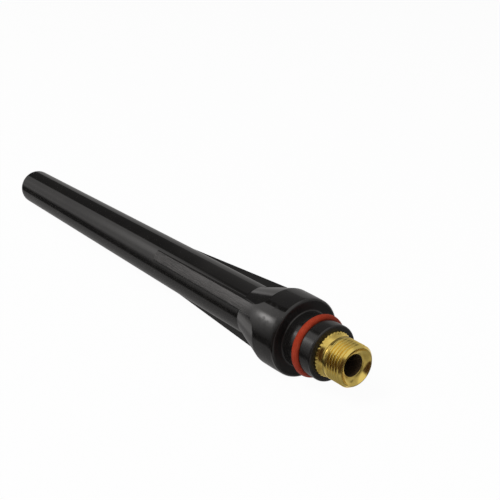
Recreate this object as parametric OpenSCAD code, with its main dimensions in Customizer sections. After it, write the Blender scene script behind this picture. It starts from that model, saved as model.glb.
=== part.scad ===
// Long back cap of a TIG welding torch.
// It screws into the back of the torch head, pushes the collet forward on the tungsten
// electrode and houses the electrode's free length in its blind bore.
// Frame: origin on the axis in the plane of the seat face, +X out of the threaded nose,
// +Z up, with one rib pointing straight down. All sizes are in millimetres.

/* [Body] */
// Length of the moulding behind the seat face
body_l = 137.5; // [80:0.1:180]
// Radius of the tube at its closed tip
tube_tip_r = 5.26; // [4.4:0.01:5.5]
// Radius of the tube where the flute ramps start
tube_root_r = 6.1; // [5.6:0.01:7]
// Radius of the rounded edge at the closed tip
tip_round_r = 1; // [0.2:0.1:1.8]
// Thickness of the wall that closes the tip
tip_wall = 2.4; // [1:0.1:6]

/* [Head] */
// Radius of the head just behind its rounded front edge
head_front_r = 9.15; // [8.6:0.01:11]
// Radius of the head where the ribs leave it
head_back_r = 9.08; // [8.5:0.01:10.9]
// Length of the head from the seat face to the tops of the flute ramps
head_l = 7.2; // [4:0.1:14]
// Radius of the head's rounded front edge
head_edge_r = 0.6; // [0.2:0.05:1.2]
// Length of the ramp at the end of each flute
ramp_l = 9.5; // [4:0.1:20]

/* [Ribs] */
// Number of ribs around the body
rib_n = 3; // [2:1:5]
// Distance from the seat face to the square ends of the ribs
rib_reach = 54.2; // [32:0.1:78]
// Length of full head radius carried along the ribs before they taper
rib_shoulder_l = 10.2; // [7.5:0.1:20]
// Radius of the rib tops at their square ends
rib_end_r = 6.03; // [5.95:0.01:8]
// Width of a rib across its top
rib_top_w = 2.52; // [1.5:0.01:4]
// Draft of each side of a rib, in degrees
rib_draft = 5; // [0:0.5:8]
// Radius of the rounded corners of the flutes, seen from above
flute_corner_r = 3.5; // [1:0.1:5]

/* [Neck] */
// Radius of the neck that enters the torch head
neck_r = 6.35; // [6:0.01:7.5]
// Length of the neck, from the seat face to its front face
neck_l = 8.9; // [7:0.1:14]
// Radius of the neck's rounded front edge
neck_edge_r = 0.4; // [0.1:0.05:0.8]
// Radius of the fillet between neck and seat face
neck_fillet_r = 0.4; // [0.1:0.05:0.9]

/* [Seal] */
// Thickness of the o-ring
ring_section = 1.78; // [1.2:0.01:2.2]
// Inside diameter of the o-ring, which is also the floor of its groove
ring_bore_d = 10.82; // [10.4:0.01:11.4]
// Distance from the neck's front face back to the middle of the o-ring
ring_back = 4.5; // [3:0.1:5.2]
// Free width of the groove beyond the o-ring's own thickness
groove_play = 0.4; // [0.1:0.05:0.8]

/* [Threaded nose] */
// Major diameter of the external thread
thread_d = 9.525; // [8.6:0.005:9.9]
// Length of the thread with its run-out, from the nose end
thread_l = 5.3; // [3:0.1:9]
// Height of the chamfer where the thread starts, around the nose end
nose_chamfer = 0.55; // [0.1:0.01:0.6]
// Length of the slope between the relief and the back end of the thread
thread_slope_l = 0.36; // [0.1:0.01:0.4]
// Radius of the relief behind the thread
relief_r = 4; // [3.6:0.01:4.2]
// Length of the relief behind the thread
relief_l = 0.9; // [0.3:0.05:2]

/* [Electrode bore] */
// Radius of the bore that houses the electrode
bore_r = 2.5; // [1.5:0.01:2.8]
// Mouth radius of the dished seat that presses the collet
seat_mouth_r = 4.1; // [3:0.01:4.15]
// Depth of the dished collet seat
seat_depth = 1.05; // [0.3:0.05:2.5]
// Radius of the seat's hollow curve between the bore and the mouth
seat_dish_r = 2.8; // [2:0.1:8]
// Radius of the rounded edge around the bore's floor
bore_floor_r = 0.8; // [0.2:0.1:1.4]

/* [Collar and anchor] */
// Radius of the knurled collar over its teeth
collar_r = 5.13; // [4.9:0.01:5.6]
// Axial length of the collar, with its bevel
collar_l = 1.2; // [1:0.05:2]
// Axial length of the bevel at the front of the collar
collar_bevel_l = 0.85; // [0.2:0.05:0.95]
// Number of teeth around the collar
collar_teeth = 36; // [24:1:60]
// Radial depth of the collar's teeth
collar_tooth_h = 0.18; // [0.1:0.01:0.4]
// Radius of the anchor inside the moulding, over its teeth
anchor_r = 4.25; // [3.6:0.01:4.6]
// Length of the anchor inside the moulding
anchor_l = 12; // [6:0.1:30]
// Number of teeth around the anchor
anchor_teeth = 24; // [12:1:48]
// Radial depth of the anchor's teeth
anchor_tooth_h = 0.35; // [0.1:0.01:0.5]
// Number of grooves that lock the anchor lengthwise
anchor_groove_n = 2; // [1:1:4]
// Width of each of these grooves
anchor_groove_w = 1.6; // [0.5:0.1:2.5]
// Depth of each of these grooves below the anchor's teeth
anchor_groove_h = 0.3; // [0.1:0.05:0.6]

/* [Hidden] */
$fn = 96;
// A cut runs this far past the face that it opens.
past = 1;
thread_r = thread_d / 2;
ring_r = (ring_bore_d + ring_section) / 2;
ring_x = neck_l - ring_back;
groove_w = ring_section + groove_play;
ramp_foot = head_l + ramp_l;
collar_front = neck_l + collar_l;
thread_root = collar_front + relief_l;
nose_x = thread_root + thread_l;
collar_land_l = collar_l - collar_bevel_l;
// The pointed tooth form stands this far above the collar, which trims it to a crest.
collar_crest = 0.06;
anchor_back = neck_l - anchor_l;
anchor_groove_r = anchor_r - anchor_tooth_h - anchor_groove_h;
rib_rise = head_back_r - rib_end_r;
rib_run = rib_reach - rib_shoulder_l;
rib_slope = atan2(rib_rise, rib_run);
// The arcs of the flute corners cross the rib and the head by this much instead of touching them.
corner_bite = 0.1;
corner_x = corner_bite - head_l - flute_corner_r;
corner_y = rib_top_w / 2 - corner_bite + flute_corner_r;

// Turns a profile about the X axis. A profile has its radius along x and its place along y.
module turned() {
  rotate([0, 90, 0])
    rotate_extrude()
      children();
}

// What a rounded corner of radius r leaves out of its square, with the arc's centre at the origin.
module corner(r, over = 0) {
  difference() {
    square(r + over);
    circle(r);
  }
}

// A bar along the X axis from x0 to x1, with pointed teeth between two radii.
module toothed_bar(tip_r, root_r, teeth, x0, x1) {
  translate([x0, 0, 0])
    rotate([0, 90, 0])
      linear_extrude(x1 - x0)
        polygon([
          for (i = [0 : 2 * teeth - 1])
            let (a = i * 180 / teeth, r = i % 2 == 0 ? tip_r : root_r)
            [r * cos(a), r * sin(a)]
        ]);
}

// Outline of tube, flute ramp and head, without the ribs.
module core_profile() {
  difference() {
    polygon([
      [0, -body_l],
      [tube_tip_r, -body_l],
      [tube_tip_r, tip_round_r - body_l],
      [tube_root_r, -ramp_foot],
      [head_back_r, -head_l],
      [head_front_r, -head_edge_r],
      [head_front_r, 0],
      [0, 0]
    ]);
    translate([head_front_r - head_edge_r, -head_edge_r])
      corner(head_edge_r, past);
    translate([tube_tip_r - tip_round_r, tip_round_r - body_l])
      mirror([0, 1])
        corner(tip_round_r, past);
  }
}

// Outline of the neck with its o-ring groove and the fillet at its root.
module neck_profile() {
  difference() {
    translate([0, -head_edge_r])
      square([neck_r, neck_l + head_edge_r]);
    translate([neck_r - neck_edge_r, neck_l - neck_edge_r])
      corner(neck_edge_r, past);
    translate([ring_bore_d / 2, ring_x - groove_w / 2])
      square([neck_r, groove_w]);
  }
  translate([neck_r + neck_fillet_r, neck_fillet_r])
    rotate(180)
      corner(neck_fillet_r);
}

// Outline that the rib tops reach: the head's radius, then a cone down to the square ends.
module rib_envelope_profile() {
  polygon([
    [0, -rib_reach],
    [rib_end_r, -rib_reach],
    [head_back_r, -rib_shoulder_l],
    [head_back_r, -head_l],
    [0, -head_l]
  ]);
}

// One rib before it is trimmed: a drafted blade that follows the slope of the rib top.
module rib_blade() {
  deep = rib_end_r;
  spread = tan(rib_draft);
  root_w = rib_top_w + 2 * deep * spread;
  crest_w = rib_top_w - 2 * past * spread;
  translate([-rib_reach, 0, rib_end_r])
    rotate([0, 90 - rib_slope, 0])
      translate([0, 0, -past])
        linear_extrude(rib_reach)
          polygon([
            [deep, -root_w / 2],
            [deep, root_w / 2],
            [-past, crest_w / 2],
            [-past, -crest_w / 2]
          ]);
}

// The shoulders that widen a rib into the head, with a rounded corner for each flute.
module rib_shoulders() {
  linear_extrude(head_front_r + past)
    difference() {
      translate([corner_x, -corner_y])
        square([flute_corner_r + head_edge_r, 2 * corner_y]);
      for (side = [-1, 1])
        translate([corner_x, side * corner_y])
          circle(flute_corner_r);
    }
}

module ribs() {
  for (i = [0 : rib_n - 1])
    rotate([180 + i * 360 / rib_n, 0, 0])
      intersection() {
        turned() rib_envelope_profile();
        union() {
          rib_blade();
          rib_shoulders();
        }
      }
}

// The part of the insert that the moulding flows around: a knurled anchor with lock grooves.
// Its front end runs on into the solid collar.
module insert_anchor() {
  pitch = anchor_l / (anchor_groove_n + 1);
  difference() {
    toothed_bar(anchor_r, anchor_r - anchor_tooth_h, anchor_teeth, anchor_back, neck_l + collar_land_l / 2);
    for (i = [1 : anchor_groove_n])
      turned()
        translate([anchor_groove_r, anchor_back + i * pitch - anchor_groove_w / 2])
          square([anchor_r, anchor_groove_w]);
  }
}

// Straight bore from the nose to the closed tip, with a rounded edge around its floor.
module electrode_bore() {
  floor_x = tip_wall - body_l;
  turned()
    difference() {
      translate([0, floor_x])
        square([bore_r, nose_x + past - floor_x]);
      translate([bore_r - bore_floor_r, floor_x + bore_floor_r])
        mirror([0, 1])
          corner(bore_floor_r, past);
    }
}

module cap_body() {
  color("#1d1d1f")
    difference() {
      union() {
        turned() core_profile();
        turned() neck_profile();
        ribs();
      }
      electrode_bore();
      insert_anchor();
    }
}

// Outline of the turned front of the insert: collar with its bevel, relief and thread blank.
module nose_profile() {
  polygon([
    [0, neck_l],
    [collar_r, neck_l],
    [collar_r, neck_l + collar_land_l],
    [relief_r, collar_front],
    [relief_r, thread_root - thread_slope_l],
    [thread_r, thread_root],
    [thread_r, nose_x - nose_chamfer],
    [thread_r - nose_chamfer, nose_x],
    [0, nose_x]
  ]);
}

// The gaps between the teeth around the collar. They leave each tooth a narrow flat crest.
module collar_gaps() {
  difference() {
    turned()
      translate([0, neck_l - past])
        square([collar_r + past, collar_l + past]);
    toothed_bar(collar_r + collar_crest, collar_r - collar_tooth_h, collar_teeth, neck_l - 2 * past, nose_x);
  }
}

// The dish that the nose presses onto the end of the collet. Its arc runs from the bore's edge
// to the mouth, so it is steep at the mouth and shallow at the bore.
module collet_seat() {
  chord = [seat_mouth_r - bore_r, seat_depth];
  rise = sqrt(pow(seat_dish_r, 2) - pow(norm(chord) / 2, 2));
  arc_mid = [bore_r, nose_x - seat_depth] + chord / 2 + rise / norm(chord) * [-chord[1], chord[0]];
  turned()
    intersection() {
      translate(arc_mid)
        circle(seat_dish_r);
      translate([bore_r / 2, nose_x - seat_depth - past])
        square([2 * thread_r, seat_depth + 2 * past]);
    }
}

module threaded_insert() {
  color("#c9a94e")
    difference() {
      union() {
        insert_anchor();
        difference() {
          turned() nose_profile();
          collar_gaps();
        }
      }
      electrode_bore();
      collet_seat();
    }
}

module o_ring() {
  color("#b4462f")
    turned()
      translate([ring_r, ring_x])
        circle(ring_section / 2);
}

cap_body();
threaded_insert();
o_ring();
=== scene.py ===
"""Dresses a long back cap of a welding torch in its finishes and lights it in a small studio.

The cap is three pieces: a black moulded body with grip ribs, a brass insert with a threaded
and knurled nose, and a red sealing ring. Each piece is turned and shaped here in the frame of
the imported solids: the axis is X, the nose points along +X and the seat face lies at X = 0.
Sizes are in millimetres, and a mesh takes them in metres.
"""

from __future__ import annotations

import logging
import math
from contextlib import contextmanager
from dataclasses import dataclass, field
from enum import Enum
from functools import reduce
from typing import Iterator, Protocol, Sequence

import bpy
import numpy as np
from mathutils import Matrix, Vector

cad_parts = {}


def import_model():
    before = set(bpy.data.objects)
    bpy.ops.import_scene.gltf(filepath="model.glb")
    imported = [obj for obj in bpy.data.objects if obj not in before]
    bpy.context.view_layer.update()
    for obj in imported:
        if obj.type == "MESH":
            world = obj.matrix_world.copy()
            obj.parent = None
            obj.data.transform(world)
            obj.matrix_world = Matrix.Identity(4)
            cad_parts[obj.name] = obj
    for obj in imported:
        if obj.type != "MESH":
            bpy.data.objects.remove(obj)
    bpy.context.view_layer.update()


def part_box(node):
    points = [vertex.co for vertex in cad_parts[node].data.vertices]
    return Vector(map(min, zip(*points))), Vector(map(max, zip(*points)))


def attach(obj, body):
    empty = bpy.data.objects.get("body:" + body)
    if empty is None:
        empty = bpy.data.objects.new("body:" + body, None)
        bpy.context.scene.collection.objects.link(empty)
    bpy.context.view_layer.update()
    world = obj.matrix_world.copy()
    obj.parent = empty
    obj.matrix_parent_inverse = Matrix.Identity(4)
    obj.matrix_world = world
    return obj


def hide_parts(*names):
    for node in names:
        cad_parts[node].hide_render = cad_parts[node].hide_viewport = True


log = logging.getLogger("back_cap")

MM = 0.001
BODY = "root"
PICTURE_SIDE = 500
SENSOR_WIDTH = 36.0
MERGE_DISTANCE = 0.002 * MM
TINY = 1e-6  # A wall that is narrower than this, in millimetres, has no direction.
SAME = 0.001  # Points that are closer than this along the axis, in millimetres, share a row.
NEAR = 0.05  # Slack, in millimetres, where points are picked by their place.

Piece = bpy.types.Object
Socket = bpy.types.NodeSocket
Pair = tuple[float, float]
Triple = tuple[float, float, float]


class Slot(Enum):
    """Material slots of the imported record."""

    MOULDING = "moulding"
    BRASS = "brass"
    SEAL = "seal"


# ---------------------------------------------------------------- modelling helpers


@dataclass(frozen=True)
class Corner:
    """A corner of a turned outline.

    Attributes:
        x: Place along the axis, in millimetres.
        r: Radius, in millimetres.
        soft: Length that the rounding takes from each side of the corner, in millimetres.
    """

    x: float
    r: float
    soft: float = 0.0


def square_groove(low: float, high: float, rim_r: float, floor_r: float, soft: float) -> list[Corner]:
    """Returns the four corners of a groove that lies between low and high along the axis."""
    places = ((low, rim_r), (low, floor_r), (high, floor_r), (high, rim_r))
    return [Corner(x, r, soft) for x, r in places]


def rounded(corners: Sequence[Corner], longest: float = 4.0, cuts: int = 5) -> list[Pair]:
    """Turns corners into a fine outline with rounded corners.

    Args:
        corners: The corners, in order along the outline.
        longest: Longest straight step of the outline, in millimetres.
        cuts: Number of short steps that each rounding is made of.

    Returns:
        The points (x, r) of the outline, in millimetres.
    """
    points: list[np.ndarray] = []
    for i, corner in enumerate(corners):
        here = np.array((corner.x, corner.r))
        if corner.soft <= 0 or i in (0, len(corners) - 1):
            points.append(here)
            continue
        ends = []
        for other in (corners[i - 1], corners[i + 1]):
            away = np.array((other.x, other.r)) - here
            reach = float(np.linalg.norm(away))
            ends.append(here + away / reach * min(corner.soft, 0.49 * reach))
        for k in range(cuts + 1):
            t = k / cuts
            points.append((1 - t) ** 2 * ends[0] + 2 * t * (1 - t) * here + t * t * ends[1])
    fine = [points[0]]
    for point in points[1:]:
        steps = max(1, math.ceil(float(np.linalg.norm(point - fine[-1])) / longest))
        start = fine[-1]
        fine += [start + (point - start) * (k + 1) / steps for k in range(steps)]
    return [(float(p[0]), float(p[1])) for p in fine]


def alone(piece: Piece) -> None:
    """Selects one piece and nothing else, and makes it the active one."""
    bpy.ops.object.select_all(action="DESELECT")
    piece.select_set(True)
    bpy.context.view_layer.objects.active = piece


@contextmanager
def editing(piece: Piece) -> Iterator[None]:
    """Opens a piece in edit mode with everything selected, and closes it again."""
    alone(piece)
    bpy.ops.object.mode_set(mode="EDIT")
    bpy.ops.mesh.select_all(action="SELECT")
    yield
    bpy.ops.object.mode_set(mode="OBJECT")


def draw_outline(name: str, outline: Sequence[Pair]) -> Piece:
    """Draws an outline as a chain of edges in the plane of X and Z.

    Args:
        name: Name of the new object.
        outline: Points (x, r), in millimetres.

    Returns:
        The object, which has edges and no faces.
    """
    bpy.ops.object.select_all(action="DESELECT")
    bpy.ops.mesh.primitive_plane_add(size=MM)
    piece = bpy.context.object
    piece.name = piece.data.name = name
    with editing(piece):
        bpy.ops.mesh.merge(type="CENTER")
        last = (0.0, 0.0)
        for i, point in enumerate(outline):
            step = ((point[0] - last[0]) * MM, 0.0, (point[1] - last[1]) * MM)
            if i == 0:
                bpy.ops.transform.translate(value=step)
            else:
                bpy.ops.mesh.extrude_vertices_move(TRANSFORM_OT_translate={"value": step})
            last = point
    return piece


def turn(name: str, outline: Sequence[Pair], columns: int) -> Piece:
    """Turns an outline about the X axis, as on a lathe.

    Args:
        name: Name of the new piece.
        outline: Points (x, r), in millimetres.
        columns: Number of columns around the axis.

    Returns:
        The turned piece, with its doubles merged.
    """
    piece = draw_outline(name, outline)
    with editing(piece):
        bpy.ops.mesh.spin(steps=columns, angle=math.tau, center=(0, 0, 0), axis=(1, 0, 0))
        bpy.ops.mesh.select_all(action="SELECT")
        bpy.ops.mesh.remove_doubles(threshold=MERGE_DISTANCE)
    return piece


def read_polar(piece: Piece) -> tuple[np.ndarray, np.ndarray, np.ndarray]:
    """Returns each point's x and radius, in millimetres, and its angle from +Y to +Z in radians."""
    flat = np.empty(len(piece.data.vertices) * 3)
    piece.data.vertices.foreach_get("co", flat)
    x, y, z = flat.reshape(-1, 3).T / MM
    return x, np.hypot(y, z), np.arctan2(z, y)


def write_polar(piece: Piece, x: np.ndarray, radius: np.ndarray, angle: np.ndarray) -> None:
    """Sets a piece's points from what read_polar gives."""
    points = np.column_stack((x, radius * np.cos(angle), radius * np.sin(angle)))
    piece.data.vertices.foreach_set("co", (points * MM).ravel())
    piece.data.update()


def close_and_shade(piece: Piece, crease_deg: float) -> None:
    """Merges doubles, turns all faces outwards and gives a piece smooth shading with crisp flats.

    Args:
        piece: The finished mesh.
        crease_deg: Edges that turn by more than this stay sharp, in degrees.
    """
    with editing(piece):
        bpy.ops.mesh.remove_doubles(threshold=MERGE_DISTANCE)
        bpy.ops.mesh.normals_make_consistent(inside=False)
    alone(piece)
    bpy.ops.object.shade_smooth_by_angle(angle=math.radians(crease_deg))
    weighted = piece.modifiers.new("even_flats", "WEIGHTED_NORMAL")
    weighted.keep_sharp = True
    weighted.weight = 60
    bpy.ops.object.modifier_apply(modifier=weighted.name)


def smooth_step(low: float, high: float, value: float) -> float:
    """Returns 0 below low, 1 above high and a smooth rise between them."""
    t = min(1.0, max(0.0, (value - low) / (high - low)))
    return t * t * (3 - 2 * t)


def eased(share: np.ndarray, soft: float) -> np.ndarray:
    """Returns shares held between 0 and 1, with both corners of that ramp rounded over soft."""
    for _ in range(2):
        bend = (share + soft) ** 2 / (4 * soft)
        share = 1 - np.where(np.abs(share) < soft, bend, np.maximum(share, 0))
    return share


def blunt_max(a: float, b: float, blend: float) -> float:
    """Returns the larger of two values, rounded off where they are less than blend apart."""
    share = max(0.0, 1 - abs(a - b) / blend)
    return max(a, b) + share * share * blend / 4


def blunt_min(a: float, b: float, blend: float) -> float:
    """Returns the smaller of two values, rounded off where they are less than blend apart."""
    return -blunt_max(-a, -b, blend)


# ---------------------------------------------------------------- finishes


class Graph:
    """Adds linked nodes to one node tree."""

    def __init__(self, tree: bpy.types.NodeTree) -> None:
        """Starts with an empty tree."""
        tree.nodes.clear()
        self.tree = tree

    def add(self, kind: str, inputs: dict | None = None, **settings: object) -> bpy.types.Node:
        """Adds a node.

        Args:
            kind: Type name of the node.
            inputs: Values or sockets for its inputs, by name or number.
            **settings: Values of the node's own properties.

        Returns:
            The new node.
        """
        made = self.tree.nodes.new(kind)
        for name, value in settings.items():
            setattr(made, name, value)
        for name, value in (inputs or {}).items():
            if isinstance(value, Socket):
                self.tree.links.new(value, made.inputs[name])
            else:
                made.inputs[name].default_value = value
        return made

    def math(self, operation: str, *values: object) -> Socket:
        """Adds a math node and returns its result."""
        inputs = dict(enumerate(values))
        return self.add("ShaderNodeMath", inputs, operation=operation).outputs[0]

    def chain(self, operation: str, *values: object) -> Socket:
        """Adds math nodes that take in one value after the other and returns the result."""
        return reduce(lambda so_far, value: self.math(operation, so_far, value), values)

    def ramp(
        self, value: object, low: float, high: float, start: float = 0.0, end: float = 1.0
    ) -> Socket:
        """Maps value from low..high smoothly to start..end and returns the result."""
        inputs = {"Value": value, "From Min": low, "From Max": high, "To Min": start, "To Max": end}
        return self.add("ShaderNodeMapRange", inputs, interpolation_type="SMOOTHSTEP").outputs[0]

    def over(self, length: object, span: Pair, start: float = 0.0, end: float = 1.0) -> Socket:
        """Maps a length from a span in millimetres smoothly to start..end and returns the result."""
        return self.ramp(length, span[0] * MM, span[1] * MM, start, end)

    def within(self, distance: object, half: float, soft: float) -> Socket:
        """Returns 1 up to half and 0 past it, with an edge that is soft on either side of half."""
        return self.ramp(distance, half - soft, half + soft, 1.0, 0.0)

    def noise(self, vector: object, scale: float, detail: float) -> Socket:
        """Adds a noise texture and returns its grey value."""
        inputs = {"Vector": vector, "Scale": scale, "Detail": detail, "Roughness": 0.55}
        return self.add("ShaderNodeTexNoise", inputs).outputs["Fac"]

    def place(self) -> Socket:
        """Returns the object's own coordinates."""
        return self.add("ShaderNodeTexCoord").outputs["Object"]

    def split(self, vector: object) -> Sequence[Socket]:
        """Returns the x, y and z of a vector."""
        return self.add("ShaderNodeSeparateXYZ", {0: vector}).outputs

    def from_axis(self, parts: Sequence[Socket]) -> Socket:
        """Returns how far from the X axis a place lies, from its x, y and z."""
        across = self.add("ShaderNodeCombineXYZ", {1: parts[1], 2: parts[2]}).outputs[0]
        return self.add("ShaderNodeVectorMath", {0: across}, operation="LENGTH").outputs["Value"]

    def bump(self, height: object, depth_mm: float, under: object = None) -> Socket:
        """Adds a bump.

        Args:
            height: Grey value of the relief.
            depth_mm: Its depth where that value is 1, in millimetres.
            under: Normal of another bump that this one lies on.

        Returns:
            The bumped normal.
        """
        inputs = {"Height": height, "Strength": 1.0, "Distance": depth_mm * MM}
        if under is not None:
            inputs["Normal"] = under
        return self.add("ShaderNodeBump", inputs).outputs["Normal"]

    def blend(self, share: object, first: object, second: object) -> Socket:
        """Mixes two colours, or results that are colours, by share and returns the colour."""
        pair = [c if isinstance(c, Socket) else (*c, 1.0) for c in (first, second)]
        return self.add("ShaderNodeMix", {0: share, 6: pair[0], 7: pair[1]}, data_type="RGBA").outputs[2]

    def surface(self, inputs: dict) -> None:
        """Ends the tree in a principled surface with these inputs."""
        shader = self.add("ShaderNodeBsdfPrincipled", inputs)
        self.add("ShaderNodeOutputMaterial", {"Surface": shader.outputs[0]})


def new_material(name: str) -> tuple[bpy.types.Material, Graph]:
    """Makes an empty node material and returns it with its graph."""
    material = bpy.data.materials.new(name)
    material.use_nodes = True
    return material, Graph(material.node_tree)


class Finish(Protocol):
    """Anything that makes a material."""

    def material(self) -> bpy.types.Material:
        """Returns the finished material."""


@dataclass(frozen=True)
class BlackMoulding:
    """Black moulded phenolic: polished, dull on the end faces, and greyer on the ribs' tops, where a
    sheen is painted.

    A pair that ends in _starts, _begins, _fades or _end is where a finish starts to change and
    where it has changed, in millimetres: along the axis, away from the middle of the scuffs, in
    height over the rib_line, or along the axis from one end of that line.

    Attributes:
        rib_line: Far end and shoulder of the ribs' tops.
        deep: Colour of the skin.
        worn: Colour where the skin is a little greyer.
        painted_top_sheen: Lighter colour of the ribs' tops, a painted sheen.
        polish: Lowest and highest roughness of the tube and head.
        neck_dull: Roughness that the neck has on top of that.
        seat_dull: Roughness that the seat face and the neck's lip have on top of that.
        scuff_dull: Roughness that the scuffs of the head have on top of that.
        scuffs_at: Middle of the scuffed band of the head, in millimetres along the axis.
        ripple_mm: Depth of the slow ripple of the skin.
        draw_mm: Depth of the draw lines.
    """

    rib_line: tuple[Corner, Corner]
    deep: Triple = (0.0058, 0.0053, 0.0050)
    worn: Triple = (0.0088, 0.0081, 0.0076)
    painted_top_sheen: Triple = (0.044, 0.041, 0.040)
    polish: Pair = (0.05, 0.11)
    neck_dull: float = 0.10
    seat_dull: float = 0.26
    scuff_dull: float = 0.12
    seat_starts: Pair = (-0.30, -0.05)
    neck_starts: Pair = (0.10, 0.45)
    lip_starts: Pair = (8.65, 8.85)
    scuffs_at: float = -3.5
    scuffs_end: Pair = (2.6, 3.6)
    top_starts: Pair = (-0.07, -0.02)
    top_begins: Pair = (-0.1, 0.1)
    top_fades: Pair = (-3.0, 0.5)
    ripple_mm: float = 0.0006
    draw_mm: float = 0.0004

    def dullness(self, g: Graph, x: Socket, skin: Socket) -> Socket:
        """Adds up how dull the neck, seat face, lip and scuffs are.

        Args:
            g: The material's graph.
            x: Place along the axis.
            skin: The object's own coordinates.

        Returns:
            The roughness that they have on top of the polish.
        """
        on_neck = g.over(x, self.neck_starts, 0.0, self.neck_dull)
        on_lip = g.over(x, self.lip_starts, 0.0, self.seat_dull)
        on_seat = g.over(x, self.seat_starts, 0.0, self.seat_dull)
        off_seat = g.over(x, self.neck_starts, 0.0, self.seat_dull)
        scuffs = g.ramp(g.noise(skin, scale=1000.0, detail=3.0), 0.48, 0.62)
        from_band = g.math("ABSOLUTE", g.math("SUBTRACT", x, self.scuffs_at * MM))
        scuffed = g.math("MULTIPLY", scuffs, g.over(from_band, self.scuffs_end, self.scuff_dull, 0.0))
        return g.chain("ADD", on_neck, on_lip, g.math("SUBTRACT", on_seat, off_seat), scuffed)

    def on_tops(self, g: Graph, parts: Sequence[Socket]) -> Socket:
        """Finds the ribs' tops, where a lighter colour is painted as sheen.

        Args:
            g: The material's graph.
            parts: The x, y and z of the place on the piece.

        Returns:
            1 on the tops and 0 elsewhere.
        """
        far, near = self.rib_line
        slope = (near.r - far.r) / (near.x - far.x)
        line = g.math("MULTIPLY_ADD", parts[0], slope, (far.r - slope * far.x) * MM)
        high = g.over(g.math("SUBTRACT", g.from_axis(parts), line), self.top_starts)
        begins = (far.x + self.top_begins[0], far.x + self.top_begins[1])
        fades = (near.x + self.top_fades[0], near.x + self.top_fades[1])
        return g.chain("MULTIPLY", high, g.over(parts[0], begins), g.over(parts[0], fades, 1.0, 0.0))

    def material(self) -> bpy.types.Material:
        """Returns the finished material."""
        made, g = new_material("black_moulding")
        skin = g.place()
        parts = g.split(skin)
        drawn = g.add("ShaderNodeMapping", {"Vector": skin, "Scale": (45.0, 900.0, 900.0)}).outputs[0]
        lines = g.noise(drawn, scale=1.6, detail=3.0)
        cloud = g.noise(skin, scale=160.0, detail=3.0)
        ripple = g.bump(g.noise(skin, scale=900.0, detail=1.0), self.ripple_mm)
        grain = g.math("ADD", g.math("MULTIPLY", lines, 0.6), g.math("MULTIPLY", cloud, 0.4))
        polished = g.ramp(grain, 0.3, 0.7, *self.polish)
        streaks = g.ramp(g.noise(drawn, scale=4.0, detail=3.0), 0.38, 0.62, 0.35, 1.0)
        # The ribs' tops get a lighter colour in streaks: a painted sheen.
        tops = g.math("MULTIPLY", self.on_tops(g, parts), streaks)
        plain = g.blend(g.ramp(cloud, 0.45, 0.7), self.deep, self.worn)
        g.surface({
            "Base Color": g.blend(tops, plain, self.painted_top_sheen),
            "Roughness": g.math("ADD", polished, self.dullness(g, parts[0], skin)),
            "IOR": 1.56,
            "Normal": g.bump(lines, self.draw_mm, ripple),
        })
        return made


@dataclass(frozen=True)
class TurnedBrass:
    """Machined brass with fine lathe rings, a little tarnish, and painted shade on the wall of the bore.

    Attributes:
        bright: Colour of the cut metal.
        tarnish: Colour where it has dulled.
        polish: Lowest and highest roughness.
        bore_shade_paint: Dark colour of the wall of the bore, painted shade of the deep hole.
        bore_shade_dull: Roughness of that wall.
        bore_mm: Radius of the bore, and the radius where the painted shade gives way to the metal.
        ring_mm: Depth of the lathe rings.
        dent_mm: Depth of the shallow dents.
    """

    bright: Triple = (0.84, 0.635, 0.17)
    tarnish: Triple = (0.66, 0.44, 0.095)
    polish: Pair = (0.13, 0.27)
    bore_shade_paint: Triple = (0.055, 0.035, 0.018)
    bore_shade_dull: float = 0.7
    bore_mm: Pair = (2.51, 2.56)
    ring_mm: float = 0.0018
    dent_mm: float = 0.004

    def material(self) -> bpy.types.Material:
        """Returns the finished material."""
        made, g = new_material("turned_brass")
        place = g.place()
        parts = g.split(place)
        radius = g.from_axis(parts)
        cut = g.add("ShaderNodeCombineXYZ", {0: parts[0], 1: radius}).outputs[0]
        rings = g.noise(cut, scale=5200.0, detail=2.0)
        patches = g.noise(place, scale=420.0, detail=4.0)
        dents = g.noise(place, scale=1500.0, detail=2.0)
        normal = g.bump(dents, self.dent_mm, g.bump(rings, self.ring_mm))
        outside = g.over(radius, self.bore_mm)
        metal = g.blend(g.ramp(patches, 0.48, 0.72), self.bright, self.tarnish)
        rough = g.ramp(g.math("MULTIPLY", g.math("ADD", rings, patches), 0.5), 0.35, 0.65, *self.polish)
        # Inside bore_mm the surface is painted shade: dark and not metal.
        g.surface({
            "Base Color": g.blend(outside, self.bore_shade_paint, metal),
            "Metallic": outside,
            "Roughness": g.math("MAXIMUM", rough, g.ramp(outside, 0.0, 1.0, self.bore_shade_dull, 0.0)),
            "Normal": normal,
        })
        return made


@dataclass(frozen=True)
class RedSilicone:
    """Matte red silicone rubber with a dusty bloom.

    Attributes:
        fresh: Colour of the rubber.
        dusty: Colour of the bloom.
        dull: Lowest and highest roughness.
        grain_mm: Depth of the fine grain.
    """

    fresh: Triple = (0.30, 0.030, 0.011)
    dusty: Triple = (0.34, 0.048, 0.022)
    dull: Pair = (0.50, 0.68)
    grain_mm: float = 0.006

    def material(self) -> bpy.types.Material:
        """Returns the finished material."""
        made, g = new_material("red_silicone")
        skin = g.place()
        bloom = g.noise(skin, scale=500.0, detail=4.0)
        grain = g.noise(skin, scale=5200.0, detail=2.0)
        g.surface({
            "Base Color": g.blend(g.ramp(bloom, 0.42, 0.75), self.fresh, self.dusty),
            "Roughness": g.ramp(bloom, 0.3, 0.7, *self.dull),
            "IOR": 1.40,
            "Specular IOR Level": 0.25,
            "Normal": g.bump(grain, self.grain_mm),
        })
        return made


# ---------------------------------------------------------------- the three pieces


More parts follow.
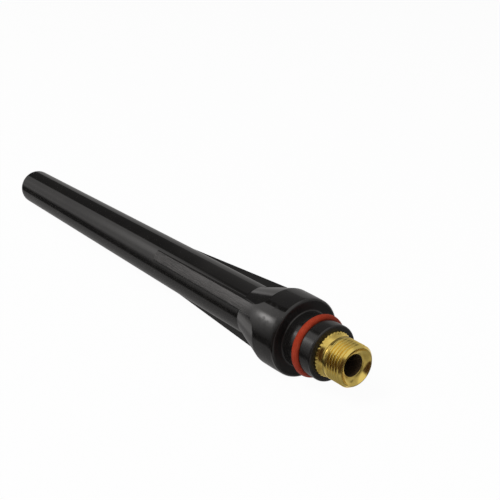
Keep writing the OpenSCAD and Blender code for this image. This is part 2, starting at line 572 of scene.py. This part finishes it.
@dataclass
class CapMoulding:
    """The black body: closed tapered tube, ribs, head, and neck with the ring's groove.

    Every column of the turned mesh is moved to its own place in the ribbed outline of its
    station, so that the edges and roots of the ribs are rounded in the mesh itself. A name that
    ends in _soft is how far a rounding reaches from its corner, _blend is the difference in
    radius under which two surfaces run into each other, and _cuts counts a mesh's steps. Between
    the heights in rib_low, the columns of a rib's side go from evenly spread to their own places.
    """

    tip_x: float
    neck_front: float
    head_r: float
    tube_tip_r: float = 5.26
    tube_root_r: float = 6.1
    tip_soft: float = 1.1
    tip_length: float = 2.0
    ramp_foot: float = -16.7
    head_back: float = -7.2
    head_back_r: float = 9.08
    head_rear: float = -11.0
    head_peak: float = -5.0
    head_fall: float = 0.078
    head_front: float = -1.5
    head_soft: float = 0.65
    head_blend: float = 0.06
    rib_count: int = 3
    rib_end: float = -54.2
    rib_end_r: float = 6.03
    rib_shoulder: float = -10.2
    rib_half: float = 1.26
    rib_half_most: float = 3.93
    rib_draft_deg: float = 5.0
    rib_step: float = 0.07
    rib_blend: float = 0.05
    rib_low: Pair = (0.03, 0.16)
    flute_corner_r: float = 3.5
    edge_soft: float = 0.11
    root_soft: float = 0.15
    neck_r: float = 6.35
    neck_soft: float = 0.45
    seat_soft: float = 0.4
    groove: Pair = (3.31, 5.49)
    groove_r: float = 5.41
    groove_soft: float = 0.08
    cavity_r: float = 4.25
    cavity_back: float = -3.1
    bore_r: float = 2.5
    tip_wall: float = 2.4
    crease_deg: float = 40
    top_cuts: int = 10
    edge_cuts: int = 4
    wall_cuts: int = 3
    root_cuts: int = 4
    floor_cuts: int = 19
    columns: int = field(init=False)

    def __post_init__(self) -> None:
        """Counts the columns of a rib and a flute."""
        half = self.top_cuts + self.edge_cuts + self.wall_cuts + self.root_cuts + self.floor_cuts
        self.columns = 2 * half * self.rib_count

    def head_at(self, x: float) -> float:
        """Returns the radius of the crowned head, which is fullest at its peak."""
        away = (max(x, self.head_rear) - self.head_peak) / self.head_peak
        return self.head_r - self.head_fall * away**2

    def core_r(self, x: float) -> float:
        """Returns the radius of tube, ramp and head at x, without the ribs."""
        run = self.ramp_foot - self.tip_x
        tube = self.tube_root_r + (self.tube_tip_r - self.tube_root_r) * (self.ramp_foot - x) / run
        slope = (self.head_back_r - self.tube_root_r) / (self.head_back - self.ramp_foot)
        ramp = self.tube_root_r + slope * (x - self.ramp_foot)
        return blunt_min(blunt_max(tube, ramp, self.head_blend), self.head_at(x), self.head_blend)

    def rib_top_r(self, x: float) -> float:
        """Returns the radius that the ribs reach at x."""
        core = self.core_r(x)
        slope = (self.head_back_r - self.rib_end_r) / (self.rib_shoulder - self.rib_end)
        cone = self.rib_end_r + slope * (x - self.rib_end)
        top = max(core, blunt_min(cone, self.head_at(x), self.rib_blend))
        rise = smooth_step(self.rib_end - self.rib_step, self.rib_end + self.rib_step, x)
        return core + (top - core) * rise

    @property
    def rib_line(self) -> tuple[Corner, Corner]:
        """Returns the far end and the shoulder of the ribs' tops."""
        return Corner(self.rib_end, self.rib_end_r), Corner(self.rib_shoulder, self.head_back_r)

    def half_width(self, x: float) -> float:
        """Returns half the width of a rib's top at x, with the flute's rounded corner."""
        inset = x - (self.head_back - self.flute_corner_r)
        if inset <= 0:
            return self.rib_half
        drop = math.sqrt(max(0.0, self.flute_corner_r**2 - inset**2))
        return min(self.rib_half_most, self.rib_half + self.flute_corner_r - drop)

    def half_section(self, x: float) -> np.ndarray:
        """Works out the outline of half a rib and half a flute at x.

        Args:
            x: Place along the axis, in millimetres.

        Returns:
            Rows of angle from the middle of the rib, in radians, and radius, in millimetres.
        """
        core, top, half = self.core_r(x), self.rib_top_r(x), self.half_width(x)
        spread = math.tan(math.radians(self.rib_draft_deg))
        edge = np.array((half, math.sqrt(top**2 - half**2)))
        a, b = 1 + spread**2, -2 * (half + edge[1] * spread) * spread
        c = (half + edge[1] * spread) ** 2 - core**2
        z = (-b + math.sqrt(b * b - 4 * a * c)) / (2 * a)
        root = np.array((half + (edge[1] - z) * spread, z))
        wall = float(np.linalg.norm(root - edge))
        down = (root - edge) / wall if wall > TINY else np.array((0.0, -1.0))
        edge_angle = math.atan2(edge[0], edge[1])
        root_angle = math.atan2(root[0], root[1])
        first, last = edge_angle - self.edge_soft / top, root_angle + self.root_soft / core

        def on_arc(radius: float, angle: float) -> np.ndarray:
            """Returns the point at a radius and an angle from the middle of the rib."""
            return radius * np.array((math.sin(angle), math.cos(angle)))

        def bend(start: np.ndarray, corner: np.ndarray, end: np.ndarray, cuts: int) -> list[np.ndarray]:
            """Returns the points after start of a rounding that a corner pulls outwards."""
            steps = [(k + 1) / cuts for k in range(cuts)]
            return [(1 - t) ** 2 * start + 2 * t * (1 - t) * corner + t * t * end for t in steps]

        most = 0.45 * wall
        edge_low = edge + down * min(self.edge_soft, most)
        root_high = root - down * min(self.root_soft, most)
        points = [on_arc(top, first * k / self.top_cuts) for k in range(self.top_cuts + 1)]
        points += bend(points[-1], edge, edge_low, self.edge_cuts)
        drop = (root_high - edge_low) / self.wall_cuts
        points += [edge_low + drop * (k + 1) for k in range(self.wall_cuts)]
        points += bend(root_high, root, on_arc(core, last), self.root_cuts)
        step = (math.pi / self.rib_count - last) / self.floor_cuts
        points += [on_arc(core, last + step * (k + 1)) for k in range(self.floor_cuts)]
        section = np.array(points)
        angle = np.arctan2(section[:, 0], section[:, 1])
        radius = np.hypot(section[:, 0], section[:, 1])
        side = self.edge_cuts + self.wall_cuts + self.root_cuts
        span = slice(self.top_cuts, self.top_cuts + side + 1)
        share = 1 - smooth_step(*self.rib_low, top - core)
        angle[span] += share * (np.linspace(first, last, side + 1) - angle[span])
        return np.column_stack((angle, radius))

    def section(self, x: float) -> tuple[np.ndarray, np.ndarray]:
        """Works out the whole outline at x.

        Args:
            x: Place along the axis, in millimetres.

        Returns:
            The angle from +Y to +Z, in radians, and the radius of each column. The first
            column is the middle of the rib that points straight down.
        """
        half = self.half_section(x)
        back = half[-2:0:-1] * (-1, 1) + (math.tau / self.rib_count, 0)
        period = np.vstack((half, back))
        turns = [period + (math.tau * i / self.rib_count, 0) for i in range(self.rib_count)]
        whole = np.vstack(turns)
        return whole[:, 0] - math.pi / 2, whole[:, 1]

    def stations(self) -> list[float]:
        """Returns where the outline between the tip and the head gets a row of points."""
        near = self.rib_step * 1.05  # Just outside the step at the ribs' far end.
        spans = (  # First row, last row and number of rows.
            (self.tip_x + self.tip_length, self.rib_end - 1.0, 20),
            (self.rib_end - 0.4, self.rib_end - 2 * near, 2),
            (self.rib_end - near, self.rib_end + near, 7),
            (self.rib_end + 2 * near, self.rib_end + 0.5, 2),
            (self.rib_end + 1.2, self.ramp_foot - 1.0, 30),
            (self.ramp_foot - 0.6, self.ramp_foot + 0.8, 13),
            (self.ramp_foot + 1.3, self.head_back - 3.9, 10),
            (self.head_back - 3.6, self.head_back - 0.6, 24),
            (self.head_back - 0.5, self.head_back + 0.5, 16),
            (self.head_back + 1.0, self.head_front, 9),
        )
        return [float(x) for start, end, count in spans for x in np.linspace(start, end, count)]

    def outline(self) -> list[Pair]:
        """Returns the turned outline, from the middle of the tip round to the bore's floor."""
        tip = [
            Corner(self.tip_x, 0),
            Corner(self.tip_x, self.tube_tip_r, self.tip_soft),
            Corner(self.tip_x + self.tip_length, self.core_r(self.tip_x + self.tip_length)),
        ]
        tube = [(x, self.core_r(x)) for x in self.stations()]
        floor_x = self.tip_x + self.tip_wall
        front = [
            Corner(self.head_front, self.core_r(self.head_front)),
            Corner(0, self.core_r(0), self.head_soft),
            Corner(0, self.neck_r, self.seat_soft),
            *square_groove(*self.groove, self.neck_r, self.groove_r, self.groove_soft),
            Corner(self.neck_front, self.neck_r, self.neck_soft),
            Corner(self.neck_front, self.cavity_r, 0.02),
            Corner(self.cavity_back, self.cavity_r, 0.1),
            Corner(self.cavity_back, self.bore_r, 0.1),
            Corner(floor_x, self.bore_r, 0.8),
            Corner(floor_x, 0),
        ]
        return (
            rounded(tip, longest=1.5, cuts=8)[:-1] + tube[:-1] + rounded(front, longest=12.0, cuts=6)
        )

    def build(self) -> Piece:
        """Turns the body, shapes its ribs and flutes, and returns it."""
        piece = turn("cap_moulding", self.outline(), self.columns)
        x, radius, angle = read_polar(piece)
        column = np.rint((angle + math.pi / 2) / math.tau * self.columns).astype(int) % self.columns
        outer = radius > self.cavity_r + NEAR
        for place in np.unique(np.round(x[outer], 4)):
            row = outer & (np.abs(x - place) < SAME)
            inside = min(max(place, self.tip_x + self.tip_length), self.head_front)
            angles, radii = self.section(inside)
            angle[row] = angles[column[row]]
            if self.rib_end - 1 < place < self.head_front - NEAR:
                radius[row] = radii[column[row]]
        write_polar(piece, x, radius, angle)
        close_and_shade(piece, self.crease_deg)
        return piece


@dataclass
class ThreadedInsert:
    """The brass insert: threaded nose, collet seat, knurled collar and the anchor behind it.

    The thread's crest, root and softness are shares of its pitch or, for the softness, of its
    flank. A tooth's slope and flat say how fast its flanks fall and how wide its tip is. The
    bevel is the foot of the collar's slope, past its rim and above the relief, and the lead is
    the length of the slope from the relief up to the thread.
    """

    anchor_back: float
    nose_x: float
    bore_r: float = 2.5
    thread_r: float = 4.7625
    thread_pitch: float = 25.4 / 32
    thread_depth: float = 0.44
    thread_crest: float = 0.07
    thread_root: float = 0.41
    thread_soft: float = 0.16
    thread_start: float = 11.75
    runout: float = 0.45
    chamfer: float = 0.55
    seat_mouth_r: float = 4.1
    seat_depth: float = 1.05
    seat_dish_r: float = 2.8
    relief_r: float = 4.0
    relief: Pair = (10.1, 11.0)
    thread_lead: float = 0.36
    collar: Pair = (8.9, 9.25)
    collar_bevel: Pair = (0.37, 0.50)
    collar_r: float = 5.13
    collar_foot_soft: float = 0.02
    collar_teeth: int = 36
    collar_tooth_h: float = 0.17
    anchor_r: float = 4.25
    anchor_teeth: int = 24
    anchor_tooth_h: float = 0.35
    anchor_grooves: tuple[float, ...] = (0.9, 4.9)
    anchor_groove_w: float = 1.6
    anchor_groove_r: float = 3.6
    anchor_soft: float = 0.03
    tooth_slope: float = 1.25
    tooth_flat: float = 0.12
    crease_deg: float = 38
    columns: int = 288

    def dish(self, steps: int = 9) -> list[Corner]:
        """Returns the hollow curve of the collet seat, from its mouth down to the bore.

        Args:
            steps: Number of straight steps along the curve.

        Returns:
            The corners of the curve, of which the first and last are rounded.
        """
        mouth = np.array((self.nose_x, self.seat_mouth_r))
        edge = np.array((self.nose_x - self.seat_depth, self.bore_r))
        chord = mouth - edge
        length = float(np.linalg.norm(chord))
        rise = math.sqrt(self.seat_dish_r**2 - length**2 / 4)
        middle = (mouth + edge) / 2 + np.array((chord[1], -chord[0])) * rise / length
        start = math.atan2(*(mouth - middle)[::-1])
        sweep = 2 * math.asin(length / 2 / self.seat_dish_r)
        softs = {0: 0.05, steps: 0.1}
        curve = []
        for k in range(steps + 1):
            angle = start + sweep * k / steps
            x, r = middle + self.seat_dish_r * np.array((math.cos(angle), math.sin(angle)))
            curve.append(Corner(float(x), float(r), softs.get(k, 0.0)))
        return curve

    def outline(self) -> list[Pair]:
        """Returns the turned outline from the nose's end, through the bore, to the thread's start."""
        back, rim = self.collar
        waist, thread_root = self.relief
        corners = [
            Corner(self.nose_x, self.thread_r - self.chamfer),
            *self.dish(),
            Corner(self.anchor_back, self.bore_r, 0.15),
            Corner(self.anchor_back, self.anchor_r, 0.1),
        ]
        for middle in self.anchor_grooves:
            low, high = middle - self.anchor_groove_w / 2, middle + self.anchor_groove_w / 2
            corners += square_groove(low, high, self.anchor_r, self.anchor_groove_r, self.anchor_soft)
        corners += [
            Corner(back, self.anchor_r, self.collar_foot_soft),
            Corner(back, self.collar_r, 0.06),
            Corner(rim, self.collar_r, 0.07),
            Corner(rim + self.collar_bevel[0], self.relief_r + self.collar_bevel[1], 0.30),
            Corner(waist, self.relief_r + 0.02, 0.16),
            Corner(thread_root - self.thread_lead, self.relief_r, 0.14),
            Corner(thread_root, self.thread_r, 0.14),
            Corner(self.thread_start, self.thread_r),
        ]
        return rounded(corners, longest=2.0, cuts=4)

    def toothed(
        self, radius: np.ndarray, angle: np.ndarray, tip_r: float, height: float, teeth: int
    ) -> np.ndarray:
        """Cuts straight teeth into a radius.

        Args:
            radius: Radius of each point.
            angle: Angle of each point.
            tip_r: Radius over the teeth.
            height: Depth of the teeth.
            teeth: Number of teeth around.

        Returns:
            The radius of each point, where the gaps between the teeth cut it down.
        """
        phase = np.abs(((angle * teeth / math.tau) % 1.0) - 0.5) * 2
        depth = np.clip(self.tooth_slope * phase - self.tooth_flat, 0.0, 1.0)
        return np.minimum(radius, tip_r - height * depth)

    def thread_radius(self, x: np.ndarray, angle: np.ndarray) -> np.ndarray:
        """Works out the right-hand thread, with its run-out and its chamfer.

        Args:
            x: Place of each point along the axis.
            angle: Angle of each point.

        Returns:
            The radius of each point.
        """
        phase = ((x - self.thread_start) / self.thread_pitch - angle / math.tau) % 1.0
        from_crest = np.minimum(phase, 1 - phase)
        flank = self.thread_root - self.thread_crest
        depth = eased((from_crest - self.thread_crest) / flank, self.thread_soft)
        fade = np.clip((x - self.thread_start) / self.runout, 0.0, 1.0)
        cut = self.thread_r - self.thread_depth * depth * fade * fade * (3 - 2 * fade)
        cone = self.thread_r - self.chamfer + (self.nose_x - x)
        return np.minimum(cut, cone)

    def cut_thread(self) -> Piece:
        """Winds one pitch of the thread's outline along its helix and returns the cut thread."""
        # Rows as shares of the pitch: close together at the bends of a flank, and two between.
        close, between = (-0.05, -0.025, 0.0, 0.025, 0.05), 0.13
        half = [0.0, *(self.thread_crest + mark for mark in close), self.thread_crest + between]
        half += [self.thread_root - between, *(self.thread_root + mark for mark in close)]
        marks = half + [1 - mark for mark in reversed(half)]
        start = self.thread_start - self.thread_pitch
        chain = [(start + self.thread_pitch * mark, self.thread_r) for mark in marks]
        piece = draw_outline("nose_thread", chain)
        alone(piece)
        helix = piece.modifiers.new("helix", "SCREW")
        helix.axis = "X"
        helix.steps = helix.render_steps = self.columns
        helix.screw_offset = self.thread_pitch * MM
        helix.iterations = math.ceil((self.nose_x - self.thread_start) / self.thread_pitch) + 1
        bpy.ops.object.modifier_apply(modifier=helix.name)
        x, _, angle = read_polar(piece)
        x = np.clip(x, self.thread_start, self.nose_x)
        write_polar(piece, x, self.thread_radius(x, angle), angle)
        with editing(piece):
            bpy.ops.mesh.remove_doubles(threshold=MERGE_DISTANCE)
        return piece

    def build(self) -> Piece:
        """Turns the insert, cuts its teeth, joins the thread to it and returns it."""
        piece = turn("brass_insert", self.outline(), self.columns)
        x, radius, angle = read_polar(piece)
        back = self.collar[0]
        on_collar = (x > back - NEAR) & (x < self.relief[0]) & (radius > self.anchor_r + NEAR)
        collar = self.toothed(radius, angle, self.collar_r, self.collar_tooth_h, self.collar_teeth)
        on_anchor = (x < back - self.collar_foot_soft / 2) & (radius > self.bore_r + NEAR)
        anchor = self.toothed(radius, angle, self.anchor_r, self.anchor_tooth_h, self.anchor_teeth)
        radius = np.where(on_collar, collar, np.where(on_anchor, anchor, radius))
        rim = (x > self.nose_x - SAME) & (radius > self.thread_r - self.chamfer - NEAR)
        radius = np.where(rim, self.thread_radius(x, angle), radius)
        write_polar(piece, x, radius, angle)
        thread = self.cut_thread()
        alone(piece)
        thread.select_set(True)
        bpy.ops.object.join()
        close_and_shade(piece, self.crease_deg)
        return piece


@dataclass
class SealRing:
    """The round silicone ring in the neck's groove, with a fine flash line of its mould round its
    outside.
    """

    middle_x: float
    outer_r: float
    section_d: float = 1.78
    flash_h: float = 0.018
    around: int = 192
    across: int = 32
    crease_deg: float = 60

    def build(self) -> Piece:
        """Adds the ring, raises the flash line round its outside and returns it."""
        thick = self.section_d / 2
        ring_r = self.outer_r - thick - self.flash_h
        bpy.ops.object.select_all(action="DESELECT")
        bpy.ops.mesh.primitive_torus_add(
            major_segments=self.around,
            minor_segments=self.across,
            major_radius=ring_r * MM,
            minor_radius=thick * MM,
            rotation=(0, math.pi / 2, 0),
        )
        piece = bpy.context.object
        piece.name = piece.data.name = "seal_ring"
        bpy.ops.object.transform_apply(location=False, rotation=True, scale=False)
        x, radius, angle = read_polar(piece)
        on_line = (np.abs(x) < SAME) & (radius > ring_r)
        radius = np.where(on_line, radius + self.flash_h, radius)
        write_polar(piece, x + self.middle_x, radius, angle)
        close_and_shade(piece, self.crease_deg)
        return piece


# ---------------------------------------------------------------- the studio


@dataclass(frozen=True)
class Card:
    """A soft-edged card of the reflection tent, by the directions that it covers.

    Attributes:
        name: What the card stands for.
        reach: Middle and half width of its reach, in degrees away from the tip's direction.
        turn: Middle and half width around the axis, in degrees from straight up towards +Y.
        glow: Brightness of the card.
        reach_soft: Softness of its edges along the reach, in degrees.
        turn_soft: Softness of its edges around the axis, in degrees.
    """

    name: str
    reach: Pair
    turn: Pair
    glow: float
    reach_soft: float = 6.0
    turn_soft: float = 3.0


@dataclass(frozen=True)
class Lamp:
    """An area lamp that looks at the cap.

    Attributes:
        name: Name of the lamp.
        reach: Degrees away from the tip's direction.
        turn: Degrees around the axis, from straight up towards +Y.
        distance: Distance from the cap, in metres.
        size: Width across and along the axis, in metres.
        power: Power in watts.
    """

    name: str
    reach: float
    turn: float
    distance: float
    size: Pair
    power: float


def direction(reach: float, turn: float) -> Vector:
    """Works out a direction around the cap.

    Args:
        reach: Degrees away from the tip's direction.
        turn: Degrees around the axis, from straight up towards +Y.

    Returns:
        The direction, as a vector of length 1.
    """
    away, around = math.radians(reach), math.radians(turn)
    across = math.sin(away)
    return Vector((-math.cos(away), across * math.sin(around), across * math.cos(around)))


@dataclass
class Studio:
    """Pale floor, white background, lamps, the tent of cards that the gloss shows, and the camera.

    The camera's place and the floor's gap are in millimetres, other lengths in metres. A later
    card covers an earlier one. The tent's dark parts take the tone tent_shade ahead of the nose
    and on the camera's side, so that brass is brown where it is dark. A shade_ pair is where that
    tone starts to change and where it has changed: over the glow, over the degrees from the tip's
    direction, or over the place across, from -1 to 1.
    """

    camera_place: Triple = (137.824, -125.028, 78.430)
    camera_forward: Triple = (-0.749766, 0.587106, -0.305218)
    camera_up: Triple = (-0.290313, 0.122632, 0.949041)
    focal_pixels: float = 930.0
    tent_radius: float = 3.0
    middle: Triple = (-0.06, 0.0, 0.0)
    floor_side: float = 12.0
    floor_gap: float = 0.03
    floor_white: float = 0.965
    paper: Triple = (0.86, 0.86, 0.85)
    sky: Triple = (0.96, 0.98, 1.0)
    diffuse_world: float = 0.15
    tent_base: float = 0.46
    tent_white: Triple = (1.0, 0.975, 0.96)
    tent_shade: Triple = (1.0, 0.56, 0.44)
    shade_glow: Pair = (0.05, 0.20)
    shade_reach: Pair = (75.0, 100.0)
    shade_side: Pair = (-0.2, 0.0)
    cards: tuple[Card, ...] = (
        Card("back_wall", (20, 36), (87, 36), 0.32, 8, 1),
        Card("floor_sheen", (20, 36), (175, 52), 0.26, 8, 1),
        Card("back_glow", (8, 17), (90, 37), 0.56, 3, 4),
        Card("floor_glow", (8, 17), (173, 40), 0.54, 3, 8),
        Card("front_flag", (80, 50), (-97, 24), 0.085, 12, 16),
        Card("side_flag", (60, 90), (-122, 11), 0.035, 20, 3),
        Card("box_side", (38.5, 7.5), (-90, 17), 0.31, 3.5, 14),
        Card("low_shade", (110, 25), (178, 26), 0.31, 10, 12),
        Card("soft_box", (20, 32), (-50, 45), 0.63, 8, 20),
        Card("tip_shade", (10, 21.5), (-50, 45), 0.41, 6.5, 20),
        Card("tip_flag", (15, 22), (-112, 14), 0.04, 6, 10),
        Card("box_line", (24, 13), (-57, 8), 0.53, 5, 12),
        Card("box_core", (37.5, 4), (-50, 14), 1.32, 5, 12),
        Card("box_foot", (44.5, 3), (-50, 32), 0.95, 2.5, 14),
        Card("fill_box", (110, 60), (-14, 34), 0.80, 6, 10),
        Card("far_flag", (20, 22), (16, 34), 0.055, 4, 2),
        Card("near_flag", (50, 11), (12, 37), 0.045, 4, 1),
        Card("near_haze", (50, 11), (19, 31), 0.16, 4, 4),
        Card("table_edge", (132, 16), (123, 26), 0.06, 6, 8),
        Card("lens", (166, 14), (112, 55), 0.12, 8, 16),
        Card("under_shade", (133, 14), (-172, 25), 0.29, 5, 8),
        Card("ground_light", (73, 15), (170, 45), 0.95, 6, 12),
        Card("back_light", (86, 26), (110, 40), 0.68, 6, 10),
        Card("camera_side", (158, 32), (-92, 43), 0.05, 9, 10),
        Card("stand", (130, 10), (63, 6), 0.12, 4, 4),
        Card("hot_haze", (45.6, 3.0), (-64, 10), 1.8, 2.0, 9),
        Card("hot_patch", (45.4, 1.8), (-60, 6), 5.2, 1.2, 6),
    )
    lamps: tuple[Lamp, ...] = (
        Lamp("hot_strip", 44.0, -55.0, 1.2, (0.10, 0.14), 0.30),
        Lamp("front_soft", 100.0, -44.0, 1.2, (0.5, 0.5), 11.5),
        Lamp("top_soft", 90.0, 10.0, 1.2, (1.0, 1.0), 1.5),
    )

    def add_camera(self) -> None:
        """Adds the camera and makes it the scene's."""
        data = bpy.data.cameras.new("camera")
        data.lens = self.focal_pixels / PICTURE_SIDE * SENSOR_WIDTH
        data.sensor_width = SENSOR_WIDTH
        data.clip_start, data.clip_end = 0.005, 50.0
        camera = bpy.data.objects.new("camera", data)
        bpy.context.collection.objects.link(camera)
        back = -Vector(self.camera_forward).normalized()
        right = Vector(self.camera_up).cross(back).normalized()
        axes = Matrix((right, back.cross(right), back)).transposed()
        camera.matrix_world = Matrix.Translation(Vector(self.camera_place) * MM) @ axes.to_4x4()
        bpy.context.scene.camera = camera

    def seen(self, g: Graph) -> Socket:
        """Returns 1 for rays that show the background: camera, glossy and transmission rays."""
        path = g.add("ShaderNodeLightPath").outputs
        glossy = g.math("MAXIMUM", path["Is Glossy Ray"], path["Is Transmission Ray"])
        return g.math("MAXIMUM", path["Is Camera Ray"], glossy)

    def light_world(self) -> None:
        """Makes the world white where it is seen, and a plain soft light elsewhere."""
        world = bpy.data.worlds.new("studio_world")
        world.use_nodes = True
        bpy.context.scene.world = world
        g = Graph(world.node_tree)
        light = {"Color": (*self.sky, 1.0), "Strength": self.diffuse_world}
        soft = g.add("ShaderNodeBackground", light)
        white = g.add("ShaderNodeBackground", {"Color": (1.0, 1.0, 1.0, 1.0), "Strength": 1.0})
        both = g.add("ShaderNodeMixShader", {0: self.seen(g), 1: soft.outputs[0], 2: white.outputs[0]})
        g.add("ShaderNodeOutputWorld", {"Surface": both.outputs[0]})

    def lay_floor(self, rests: tuple[Pair, Pair]) -> None:
        """Lays the floor under the cap.

        Args:
            rests: The two points (x, z) where the lying cap touches it, in millimetres.
        """
        (x0, z0), (x1, z1) = rests
        tilt = math.atan2(z1 - z0, x1 - x0)
        bpy.ops.object.select_all(action="DESELECT")
        bpy.ops.mesh.primitive_plane_add(size=self.floor_side, rotation=(0, -tilt, 0))
        floor = bpy.context.object
        floor.name = "floor"
        floor.location = (x0 * MM, 0, (z0 - self.floor_gap) * MM)
        material, g = new_material("pale_floor")
        paper = g.add("ShaderNodeBsdfDiffuse", {"Color": (*self.paper, 1.0)})
        white = g.add("ShaderNodeEmission", {"Strength": 1.0})
        share = g.math("MULTIPLY", self.seen(g), self.floor_white)
        both = g.add("ShaderNodeMixShader", {0: share, 1: paper.outputs[0], 2: white.outputs[0]})
        g.add("ShaderNodeOutputMaterial", {"Surface": both.outputs[0]})
        floor.data.materials.append(material)
        floor.visible_glossy = False

    def pitch_tent(self) -> None:
        """Sets up the cards that only glossy surfaces see, as one round tent."""
        bpy.ops.object.select_all(action="DESELECT")
        bpy.ops.mesh.primitive_uv_sphere_add(segments=48, ring_count=24, radius=self.tent_radius)
        tent = bpy.context.object
        tent.name = "reflection_tent"
        tent.location = self.middle
        for ray in ("camera", "diffuse", "transmission", "volume_scatter", "shadow"):
            setattr(tent, f"visible_{ray}", False)
        material, g = new_material("tent_cards")
        material.cycles.emission_sampling = "NONE"
        toward = g.add("ShaderNodeVectorMath", {0: g.place()}, operation="NORMALIZE").outputs[0]
        parts = g.split(toward)
        away = g.math("DEGREES", g.math("ARCCOSINE", g.math("MULTIPLY", parts[0], -1.0)))
        # A little over 1, so that straight ahead there is something to divide by.
        across = g.math("SQRT", g.math("SUBTRACT", 1.0001, g.math("POWER", parts[0], 2.0)))
        glow: object = self.tent_base
        for card in self.cards:
            middle = math.radians(card.turn[0])
            side = g.math("MULTIPLY", parts[1], math.sin(middle))
            facing = g.math("ADD", side, g.math("MULTIPLY", parts[2], math.cos(middle)))
            turned = g.math("DEGREES", g.math("ARCCOSINE", g.math("DIVIDE", facing, across)))
            reached = g.math("ABSOLUTE", g.math("SUBTRACT", away, card.reach[0]))
            in_turn = g.within(turned, card.turn[1], card.turn_soft)
            in_reach = g.within(reached, card.reach[1], card.reach_soft)
            share = g.math("MULTIPLY", in_turn, in_reach)
            mixed = g.add("ShaderNodeMix", {0: share, 2: glow, 3: card.glow}, data_type="FLOAT")
            glow = mixed.outputs[0]
        ahead = g.ramp(away, *self.shade_reach)
        nearer = g.ramp(parts[1], *self.shade_side, 1.0, 0.0)
        dark = g.ramp(glow, *self.shade_glow, 1.0, 0.0)
        tone = g.blend(g.chain("MULTIPLY", ahead, nearer, dark), self.tent_white, self.tent_shade)
        emission = g.add("ShaderNodeEmission", {"Color": tone, "Strength": glow})
        g.add("ShaderNodeOutputMaterial", {"Surface": emission.outputs[0]})
        tent.data.materials.append(material)

    def hang_lamps(self) -> None:
        """Hangs the area lamps around the cap."""
        for lamp in self.lamps:
            data = bpy.data.lights.new(lamp.name, "AREA")
            data.shape = "RECTANGLE"
            data.size, data.size_y = lamp.size
            data.energy = lamp.power
            made = bpy.data.objects.new(lamp.name, data)
            bpy.context.collection.objects.link(made)
            way = direction(lamp.reach, lamp.turn)
            made.location = Vector(self.middle) + way * lamp.distance
            made.rotation_mode = "QUATERNION"
            made.rotation_quaternion = way.to_track_quat("Z", "Y")
            made.visible_camera = False
            made.visible_glossy = False

    def set_up(self, rests: tuple[Pair, Pair]) -> None:
        """Sets up everything around the cap and the plain view transform.

        Args:
            rests: The two points (x, z) where the lying cap touches the floor, in millimetres.
        """
        bpy.context.scene.view_settings.view_transform = "Standard"
        self.add_camera()
        self.light_world()
        self.lay_floor(rests)
        self.pitch_tent()
        self.hang_lamps()


# ---------------------------------------------------------------- assembly


@dataclass
class BackCap:
    """The whole cap: builds each piece in its CAD node's place and dresses it."""

    moulding: CapMoulding
    insert: ThreadedInsert
    seal: SealRing

    @classmethod
    def from_frame(cls) -> "BackCap":
        """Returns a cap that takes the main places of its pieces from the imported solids."""
        body_low, body_high = (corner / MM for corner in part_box("cap_body"))
        insert_low, insert_high = (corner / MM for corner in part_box("threaded_insert"))
        ring_low, ring_high = (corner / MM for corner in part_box("o_ring"))
        return cls(
            CapMoulding(tip_x=body_low.x, neck_front=body_high.x, head_r=body_high.z),
            ThreadedInsert(anchor_back=insert_low.x, nose_x=insert_high.x),
            SealRing(middle_x=(ring_low.x + ring_high.x) / 2, outer_r=ring_high.z),
        )

    def dress(self, piece: Piece, finish: Finish, node: str) -> None:
        """Gives a piece its finish and puts it in its node's place.

        Args:
            piece: The finished mesh.
            finish: The finish that makes its material.
            node: The CAD node that the piece stands for.
        """
        piece.data.materials.clear()
        piece.data.materials.append(finish.material())
        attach(piece, BODY)
        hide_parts(node)
        log.info("%s stands for %s with %d faces", piece.name, node, len(piece.data.polygons))

    def build(self) -> None:
        """Builds and dresses the three pieces."""
        black = BlackMoulding(self.moulding.rib_line)
        self.dress(self.moulding.build(), black, "cap_body")
        self.dress(self.insert.build(), TurnedBrass(), "threaded_insert")
        self.dress(self.seal.build(), RedSilicone(), "o_ring")

    def rests(self) -> tuple[Pair, Pair]:
        """Returns where the lying cap touches the floor: at its tip and at the foot rib's shoulder."""
        body = self.moulding
        tip = (body.tip_x + body.tip_soft, -body.tube_tip_r)
        return tip, (body.rib_shoulder, -body.head_back_r)


def main() -> None:
    """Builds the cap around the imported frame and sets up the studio."""
    logging.basicConfig(level=logging.INFO, format="%(name)s: %(message)s")
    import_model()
    cap = BackCap.from_frame()
    cap.build()
    Studio().set_up(cap.rests())


if __name__ == "__main__":
    main()
